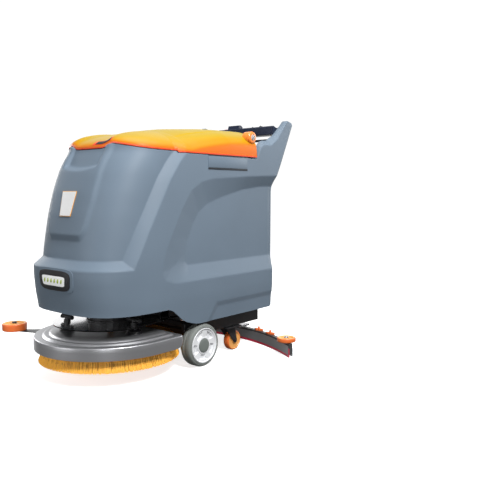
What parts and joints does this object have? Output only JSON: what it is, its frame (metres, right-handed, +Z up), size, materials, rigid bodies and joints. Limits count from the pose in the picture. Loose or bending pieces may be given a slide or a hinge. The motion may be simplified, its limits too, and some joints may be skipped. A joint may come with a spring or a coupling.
{
  "type": "walk-behind floor scrubber",
  "caption": "Walk-behind floor scrubber: one-piece body on drive wheels and casters, hinged lid, lifting disc brush deck in front, curved squeegee behind.",
  "frame": {"origin": "on the floor at the middle of the overall length and width, under the body", "axes": "+Z up; the machine drives towards -Y; its left side, as the operator behind it sees it, is +X"},
  "size_m": [0.96, 1.194, 1.0554],
  "materials": {
    "body_plastic": "satin blue-grey rotomoulded polyethylene",
    "lid_plastic": "glossy orange fading to yellow along the crown",
    "tank_plastic": "plain grey polyethylene",
    "black_plastic": "fine-textured black",
    "black_steel": "satin black powder coat",
    "deck_metal": "polished cast deck with a brushed top",
    "bright_steel": "zinc-bright plate and bolts",
    "motor_case": "black-painted cast motor case",
    "battery_case": "black moulded battery case",
    "bristle": "golden orange nylon tufts",
    "brush_plastic": "orange moulded brush block",
    "tyre_rubber": "grey non-marking rubber",
    "hub_plastic": "white moulded rim",
    "cap_plastic": "grey hub cap",
    "orange_plastic": "orange moulded plastic",
    "blade_rubber": "red polyurethane blade",
    "squeegee_metal": "dark grey cast body",
    "console_plastic": "dark navy panel",
    "lens_plastic": "clear light cover",
    "badge_plastic": "plain off-white plate",
    "button_plastic": "red push button",
    "hose_rubber": "black ribbed suction boot"
  },
  "bodies": {
    "chassis": {"rail_left": "black_steel", "rail_right": "black_steel", "cross_front": "black_steel", "cross_rear": "black_steel", "tank_frame": "black_steel", "transaxle": "motor_case", "battery_tray": "black_plastic", "batteries": "battery_case", "solution_tank": "tank_plastic", "recovery_tank": "tank_plastic", "vacuum_motor": "black_plastic", "body_shell": "body_plastic", "lid_hinge_left": "bright_steel", "lid_hinge_right": "bright_steel", "console_panel": "console_plastic", "display_hood": "console_plastic", "handlebar": "black_steel", "light_bezel": "black_plastic", "light_lens": "lens_plastic", "badge_plate": "badge_plastic"},
    "lid": {"lid": "lid_plastic"},
    "wheel_left": {"tyre_left": "tyre_rubber", "rim_left": "hub_plastic", "hub_cap_left": "cap_plastic"},
    "wheel_right": {"tyre_right": "tyre_rubber", "rim_right": "hub_plastic", "hub_cap_right": "cap_plastic"},
    "caster_left": {"caster_fork_left": "black_steel"},
    "caster_right": {"caster_fork_right": "black_steel"},
    "caster_wheel_left": {"caster_wheel_left": "orange_plastic"},
    "caster_wheel_right": {"caster_wheel_right": "orange_plastic"},
    "lower_arms": {"lower_arms": "black_steel"},
    "upper_arms": {"upper_arms": "black_steel"},
    "deck": {"deck_housing": "deck_metal", "carrier_plate": "bright_steel", "brush_motor": "motor_case", "bumper_bracket": "bright_steel"},
    "brush": {"brush_block": "brush_plastic", "bristles": "bristle"},
    "bumper_roller": {"bumper_roller": "orange_plastic"},
    "deck_knob_right": {"deck_knob_right": "black_plastic"},
    "deck_knob_left": {"deck_knob_left": "black_plastic"},
    "squeegee_arm": {"squeegee_yoke": "bright_steel", "suction_boot": "hose_rubber"},
    "squeegee": {"squeegee_body": "squeegee_metal", "blade_front": "blade_rubber", "blade_rear": "blade_rubber"},
    "squeegee_roller_left": {"squeegee_roller_left": "orange_plastic"},
    "squeegee_roller_right": {"squeegee_roller_right": "orange_plastic"},
    "wing_knob_left_inner": {"wing_knob_left_inner": "orange_plastic"},
    "wing_knob_left_outer": {"wing_knob_left_outer": "orange_plastic"},
    "wing_knob_right_inner": {"wing_knob_right_inner": "orange_plastic"},
    "wing_knob_right_outer": {"wing_knob_right_outer": "orange_plastic"},
    "e_stop": {"e_stop": "button_plastic"},
    "key_switch": {"key_switch": "bright_steel"},
    "speed_knob": {"speed_knob": "black_plastic"},
    "rocker_switch": {"rocker_switch": "black_plastic"},
    "throttle_bail": {"throttle_bail": "black_steel"},
    "deck_pedal": {"deck_pedal": "black_plastic"},
    "squeegee_pedal": {"squeegee_pedal": "black_plastic"}
  },
  "joints": [
    {"name": "lid_open", "type": "hinge", "parent": "chassis", "child": "lid", "pos_m": [0, 0.278, 0.96], "axis": [-1, 0, 0], "range_deg": [0, 75]},
    {"name": "wheel_left_roll", "type": "hinge", "parent": "chassis", "child": "wheel_left", "pos_m": [0.248, -0.036, 0.089], "axis": [1, 0, 0], "continuous": true},
    {"name": "wheel_right_roll", "type": "hinge", "parent": "chassis", "child": "wheel_right", "pos_m": [-0.248, -0.036, 0.089], "axis": [1, 0, 0], "continuous": true},
    {"name": "caster_left_swivel", "type": "hinge", "parent": "chassis", "child": "caster_left", "pos_m": [0.179, 0.212, 0.112], "axis": [0, 0, 1], "continuous": true},
    {"name": "caster_left_roll", "type": "hinge", "parent": "caster_left", "child": "caster_wheel_left", "pos_m": [0.179, 0.248, 0.045], "axis": [1, 0, 0], "continuous": true},
    {"name": "caster_right_swivel", "type": "hinge", "parent": "chassis", "child": "caster_right", "pos_m": [-0.179, 0.212, 0.112], "axis": [0, 0, 1], "continuous": true},
    {"name": "caster_right_roll", "type": "hinge", "parent": "caster_right", "child": "caster_wheel_right", "pos_m": [-0.179, 0.248, 0.045], "axis": [1, 0, 0], "continuous": true},
    {"name": "deck_lift", "type": "hinge", "parent": "chassis", "child": "lower_arms", "pos_m": [0, 0.05, 0.205], "axis": [1, 0, 0], "range_deg": [0, 16.3]},
    {"name": "upper_arm_swing", "type": "hinge", "parent": "chassis", "child": "upper_arms", "pos_m": [0, 0.05, 0.25], "axis": [1, 0, 0], "range_deg": [0, 16.3]},
    {"name": "deck_level", "type": "hinge", "parent": "lower_arms", "child": "deck", "pos_m": [0, -0.16, 0.225], "axis": [1, 0, 0], "range_deg": [-16.3, 0]},
    {"name": "brush_spin", "type": "hinge", "parent": "deck", "child": "brush", "pos_m": [0, -0.303, 0.137], "axis": [0, 0, 1], "continuous": true},
    {"name": "bumper_roller_roll", "type": "hinge", "parent": "deck", "child": "bumper_roller", "pos_m": [-0.35, -0.52, 0.165], "axis": [0, 0, 1], "continuous": true},
    {"name": "deck_knob_right_turn", "type": "hinge", "parent": "deck", "child": "deck_knob_right", "pos_m": [-0.09227, -0.43979, 0.1913], "axis": [0, 0, 1], "range_deg": [0, 90]},
    {"name": "deck_knob_left_turn", "type": "hinge", "parent": "deck", "child": "deck_knob_left", "pos_m": [0.1646, -0.31451, 0.1913], "axis": [0, 0, 1], "range_deg": [0, 90]},
    {"name": "squeegee_lift", "type": "hinge", "parent": "chassis", "child": "squeegee_arm", "pos_m": [0, 0.285, 0.106], "axis": [1, 0, 0], "range_deg": [0, 13], "deforming": ["suction_boot"]},
    {"name": "squeegee_swing", "type": "hinge", "parent": "squeegee_arm", "child": "squeegee", "pos_m": [0, 0.437, 0.06], "axis": [0, 0, 1], "range_deg": [-10, 10]},
    {"name": "squeegee_roller_left_roll", "type": "hinge", "parent": "squeegee", "child": "squeegee_roller_left", "pos_m": [0.438, 0.316, 0.0735], "axis": [0, 0, 1], "continuous": true},
    {"name": "wing_knob_left_inner_turn", "type": "hinge", "parent": "squeegee", "child": "wing_knob_left_inner", "pos_m": [0.2, 0.42115, 0.0608], "axis": [0, 0, 1], "continuous": true},
    {"name": "wing_knob_left_outer_turn", "type": "hinge", "parent": "squeegee", "child": "wing_knob_left_outer", "pos_m": [0.29, 0.39264, 0.0608], "axis": [0, 0, 1], "continuous": true},
    {"name": "squeegee_roller_right_roll", "type": "hinge", "parent": "squeegee", "child": "squeegee_roller_right", "pos_m": [-0.438, 0.316, 0.0735], "axis": [0, 0, 1], "continuous": true},
    {"name": "wing_knob_right_inner_turn", "type": "hinge", "parent": "squeegee", "child": "wing_knob_right_inner", "pos_m": [-0.2, 0.42115, 0.0608], "axis": [0, 0, 1], "continuous": true},
    {"name": "wing_knob_right_outer_turn", "type": "hinge", "parent": "squeegee", "child": "wing_knob_right_outer", "pos_m": [-0.29, 0.39264, 0.0608], "axis": [0, 0, 1], "continuous": true},
    {"name": "e_stop_press", "type": "slide", "parent": "chassis", "child": "e_stop", "axis": [0, -0.3601, -0.9329], "range_m": [0, 0.004], "stiffness_N_per_m": 400, "springref_m": -0.004},
    {"name": "key_turn", "type": "hinge", "parent": "chassis", "child": "key_switch", "pos_m": [0.1, 0.4985, 1.019], "axis": [0, 0.3601, 0.9329], "range_deg": [0, 90]},
    {"name": "speed_turn", "type": "hinge", "parent": "chassis", "child": "speed_knob", "pos_m": [0.15, 0.4985, 1.019], "axis": [0, 0.3601, 0.9329], "range_deg": [0, 270]},
    {"name": "rocker_tilt", "type": "hinge", "parent": "chassis", "child": "rocker_switch", "pos_m": [-0.145, 0.4985, 1.019], "axis": [0, 0.9329, -0.3601], "range_deg": [-8, 8], "stiffness_Nm_per_rad": 0.05},
    {"name": "bail_squeeze", "type": "hinge", "parent": "chassis", "child": "throttle_bail", "pos_m": [0, 0.5355, 0.9975], "axis": [1, 0, 0], "range_deg": [0, 25], "stiffness_Nm_per_rad": 0.6, "springref_deg": -17.19},
    {"name": "deck_pedal_press", "type": "hinge", "parent": "chassis", "child": "deck_pedal", "pos_m": [-0.11, 0.36, 0.15], "axis": [1, 0, 0], "range_deg": [0, 9.8]},
    {"name": "squeegee_pedal_press", "type": "hinge", "parent": "chassis", "child": "squeegee_pedal", "pos_m": [0.11, 0.36, 0.15], "axis": [1, 0, 0], "range_deg": [-10.4, 0]}
  ],
  "couplings": [
    {"joint": "upper_arm_swing", "follows": "deck_lift", "ratio": 1},
    {"joint": "deck_level", "follows": "deck_lift", "ratio": -1},
    {"joint": "deck_pedal_press", "follows": "deck_lift", "ratio": 0.6},
    {"joint": "squeegee_pedal_press", "follows": "squeegee_lift", "ratio": -0.8}
  ]
}
